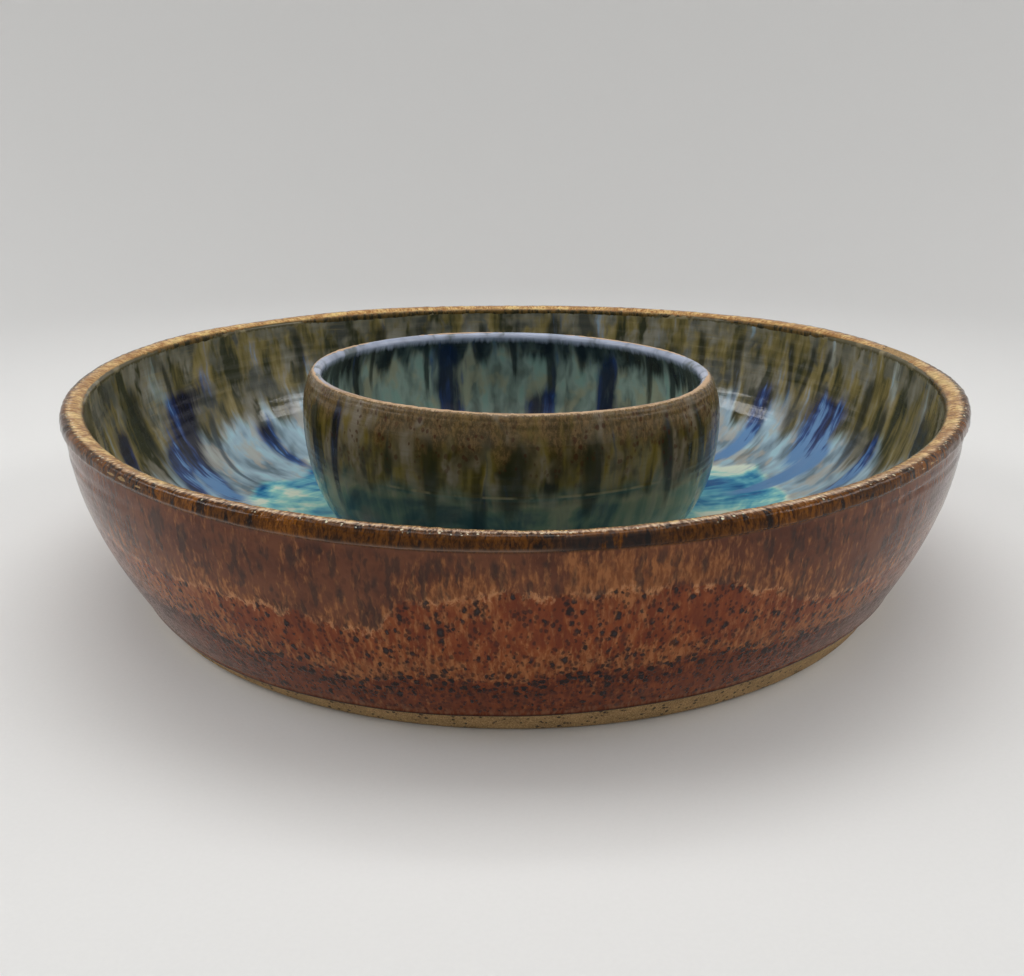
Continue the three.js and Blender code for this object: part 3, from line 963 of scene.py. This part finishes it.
def add_pieces():
    inner = running_glaze(
        "running_glaze_inside", lift=1.5,
        wall=[(45, 46, 32), (74, 68, 41), (98, 87, 52), (115, 103, 66), (126, 114, 86)],
        haze=[(58, 59, 54), (79, 78, 68), (97, 93, 79), (111, 107, 95)],
        rings=(112, 100, 64),
        pale=[(96, 113, 122), (120, 140, 151), (136, 157, 168), (142, 172, 181)],
        sand=(156, 148, 134),
        pool=[(24, 78, 126), (52, 118, 152), (92, 156, 170), (138, 188, 180), (194, 218, 186)],
        ink=[(7, 12, 32), (13, 27, 64), (32, 58, 108), (84, 120, 160)],
        drip=[(30, 33, 26), (62, 75, 86)],
        lip=(62, 56, 36), lip_depth=1.0,
    )
    dip_out = running_glaze(
        "running_glaze_dip_outside", lift=1.35, gloss=0.22,
        wall=[(30, 30, 14), (58, 51, 18), (82, 71, 27), (96, 83, 40), (104, 94, 62)],
        haze=[(48, 45, 30), (70, 63, 44), (92, 82, 62), (108, 99, 84)],
        rings=(84, 74, 42),
        pale=[(38, 48, 38), (54, 63, 50), (76, 81, 64), (92, 91, 74)],
        sand=(92, 82, 58),
        pool=[(30, 44, 42), (50, 62, 54), (76, 84, 64), (100, 98, 74)],
        ink=[(12, 16, 22), (18, 26, 46), (30, 46, 78)],
        drip=[(28, 31, 17), (28, 42, 38)],
        lip=(104, 100, 104), lip_depth=0.4, grade=1.5,
        crust=[(70, 55, 30), (112, 87, 54), (54, 24, 10), (180, 150, 118)],
    )
    dip_in = running_glaze(
        "running_glaze_dip_inside", lift=1.65,
        wall=[(16, 20, 18), (26, 32, 28), (42, 50, 46), (66, 74, 64)],
        haze=[(18, 24, 24), (36, 44, 42), (58, 66, 60)],
        rings=(50, 54, 42),
        pale=[(76, 86, 78), (92, 106, 98), (108, 122, 112), (102, 124, 114)],
        sand=(120, 118, 94),
        pool=[(22, 46, 84), (40, 80, 112), (66, 112, 118)],
        ink=[(10, 18, 38), (16, 32, 70), (34, 62, 108)],
        drip=[(13, 17, 16), (24, 32, 30)],
        lip=(124, 130, 145), lip_depth=6.0, grade=1.5, still=(68, 88), brow=(142, 116, 88),
    )
    clay = bare_clay()
    made = [
        (bowl_clay(), clay, "bare_clay", "server"),
        (bowl_outer_glaze(), outer_glaze(), "outer_glaze", "server"),
        (bowl_inner_glaze(), inner, "inner_glaze", "server"),
        (dip_clay(), clay, "bare_clay", "dip"),
        (dip_outer_glaze(), dip_out, "inner_glaze", "dip"),
        (dip_inner_glaze(), dip_in, "inner_glaze", "dip"),
    ]
    nodes = {"server": "serving_bowl", "dip": "dip_bowl"}
    for piece, material, slot, body in made:
        piece.data.materials.append(material)
        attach(piece, body)
        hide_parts(nodes[body])


def add_stage():
    """A pale dish: a flat floor whose edge curves up into a wall all round."""
    floor_radius, bend, wall = 0.62, 0.5, 0.95
    a = np.linspace(0, math.pi / 2, 17)
    bent_up = zip(floor_radius + bend * np.sin(a), bend - bend * np.cos(a))
    section = [(0.0, 0.0), (0.25, 0.0), *bent_up, (floor_radius + bend, wall)]
    steps = 96
    points, faces = [(0.0, 0.0, 0.0)], []
    for r, z in section[1:]:
        points += [(r * math.cos(TURN * i / steps), r * math.sin(TURN * i / steps), z) for i in range(steps)]
    for i in range(steps):
        j = (i + 1) % steps
        faces.append((0, 1 + i, 1 + j))
        for row in range(len(section) - 2):
            here, up = 1 + row * steps, 1 + (row + 1) * steps
            faces.append((here + i, up + i, up + j, here + j))
    mesh = bpy.data.meshes.new("floor")
    mesh.from_pydata(points, [], faces)
    mesh.shade_smooth()
    floor = bpy.data.objects.new("floor", mesh)
    bpy.context.scene.collection.objects.link(floor)
    m = Finish("floor_paint")
    place = m.add("ShaderNodeTexCoord", "Object", {})
    grain = m.add("ShaderNodeTexNoise", 0, {"Vector": place, "Scale": 900.0})
    # Painted shade: the floor's colour darkens away from the middle, standing in for the light falling off.
    away = m.ease(m.add("ShaderNodeVectorMath", "Value", {0: place}, operation="LENGTH"), 0.15, 0.62)
    near = m.mix(grain, (0.79, 0.785, 0.77, 1), (0.82, 0.815, 0.80, 1))
    far = m.mix(grain, (0.68, 0.675, 0.665, 1), (0.71, 0.705, 0.695, 1))
    m.tree.links.new(m.mix(away, near, far), m.shader.inputs["Base Color"])
    m.shader.inputs["Roughness"].default_value = 0.7
    m.shader.inputs["Specular IOR Level"].default_value = 0.2
    mesh.materials.append(m.material)


def add_light(name, size, place, aim, power):
    data = bpy.data.lights.new(name, "AREA")
    data.shape = "RECTANGLE"
    data.size, data.size_y = size
    data.energy = power
    light = bpy.data.objects.new(name, data)
    light.location = place
    light.rotation_euler = (Vector(aim) - Vector(place)).to_track_quat("-Z", "Y").to_euler()
    bpy.context.scene.collection.objects.link(light)


def add_lights():
    """Soft boxes: a wide and a narrow one overhead, one each side, a weaker one over the camera and a faint
    one on the backdrop, each with its size, place, aim and watts."""
    add_light("overhead", (0.9, 0.5), (0.0, 0.12, 0.95), (0.0, 0.05, 0.0), 4.0)
    add_light("strip", (0.5, 0.07), (0.0, 0.25, 0.9), (0.0, 0.0, 0.0), 0.5)
    add_light("front", (1.2, 0.5), (0.0, -0.55, 0.75), (0.0, 0.0, 0.0), 1.25)
    add_light("left", (0.8, 0.24), (-1.04, 0.0, 0.8), (0.0, 0.0, 0.0), 4.6)
    add_light("right", (0.8, 0.24), (1.04, 0.0, 0.8), (0.0, 0.0, 0.0), 3.8)
    add_light("backdrop", (1.4, 0.2), (0.0, 0.6, 0.85), (0.0, 1.12, 0.5), 0.05)
    world = bpy.data.worlds.new("room")
    world.use_nodes = True
    world.node_tree.nodes["Background"].inputs["Color"].default_value = (0.96, 0.98, 1.0, 1)
    world.node_tree.nodes["Background"].inputs["Strength"].default_value = 0.125
    bpy.context.scene.world = world


def add_camera():
    """A 36 mm lens in front of the bowl and above it, looking 20 degrees down."""
    place = Vector((3.2, -363.7, 151.7)) * MM
    pitch, pan, lean = math.radians(19.78), math.radians(0.65), 0.0034
    ahead = Vector((-math.sin(pan) * math.cos(pitch), math.cos(pan) * math.cos(pitch), -math.sin(pitch)))
    right = Vector((math.cos(pan), math.sin(pan), 0))
    up = right.cross(ahead)
    right, up = right * math.cos(lean) - up * math.sin(lean), right * math.sin(lean) + up * math.cos(lean)
    data = bpy.data.cameras.new("camera")
    data.lens, data.sensor_width = 36, 36
    data.clip_start, data.clip_end = 0.01, 20
    camera = bpy.data.objects.new("camera", data)
    camera.matrix_world = Matrix.Translation(place) @ Matrix((right, up, -ahead)).transposed().to_4x4()
    bpy.context.scene.collection.objects.link(camera)
    bpy.context.scene.camera = camera


add_camera()
add_stage()
add_lights()
add_pieces()
bpy.context.scene.view_settings.view_transform = "Standard"
